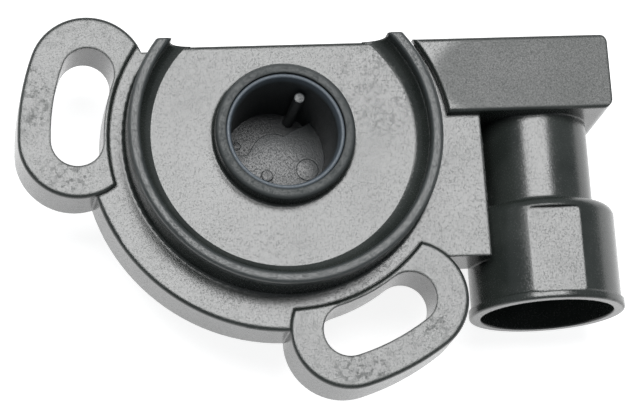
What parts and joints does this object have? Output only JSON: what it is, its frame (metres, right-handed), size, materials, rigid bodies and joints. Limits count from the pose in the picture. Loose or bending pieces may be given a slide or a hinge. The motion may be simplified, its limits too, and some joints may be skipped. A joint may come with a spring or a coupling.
{
  "type": "throttle position sensor",
  "caption": "Rotary throttle position sensor with a sprung drive socket, half-round locating wall, slotted lugs and a round plug socket at one side.",
  "frame": {"origin": "the drive axis at the seat plane of the two lugs", "axes": "+Z along the drive axis towards the throttle body, +X towards the plug socket, +Y towards the flat side; the plug socket opens towards -Y"},
  "size_m": [0.0654, 0.0416, 0.02],
  "materials": {
    "housing_plastic": "satin black moulding with a fine speckle",
    "rotor_plastic": "satin black moulding",
    "seal_rubber": "matte black rubber",
    "washer_steel": "bright stamped steel",
    "spring_steel": "drawn spring wire",
    "carrier_plastic": "natural unfilled moulding",
    "contact_alloy": "thin sprung contact sheet",
    "bush_brass": "turned bush",
    "board_laminate": "brown paper laminate",
    "resistor_ink": "printed carbon film",
    "silver_ink": "printed silver film",
    "terminal_brass": "tinned brass strip",
    "rivet_metal": "plain rivet",
    "cover_plastic": "black moulding",
    "sealant_resin": "cured black resin"
  },
  "bodies": {
    "housing_body": {"housing": "housing_plastic", "shaft_seal": "seal_rubber", "seal_retainer": "washer_steel", "return_spring": "spring_steel", "pivot_bush": "bush_brass", "thrust_washer": "washer_steel", "element_board": "board_laminate", "resistor_track": "resistor_ink", "collector_track": "silver_ink", "contact_pads": "silver_ink", "supply_terminal": "terminal_brass", "signal_terminal": "terminal_brass", "ground_terminal": "terminal_brass", "terminal_rivets": "rivet_metal", "rear_cover": "cover_plastic", "cover_sealant": "sealant_resin"},
    "rotor_body": {"drive_rotor": "rotor_plastic", "wiper_carrier": "carrier_plastic", "carrier_clip": "washer_steel", "outer_wiper": "contact_alloy", "inner_wiper": "contact_alloy"}
  },
  "joints": [
    {"name": "rotor_turn", "type": "hinge", "parent": "housing_body", "child": "rotor_body", "pos_m": [0, 0, 0], "axis": [0, 0, 1], "range_deg": [-95, 0], "stiffness_Nm_per_rad": 0.005, "springref_deg": 20.05, "deforming": ["return_spring"]}
  ]
}
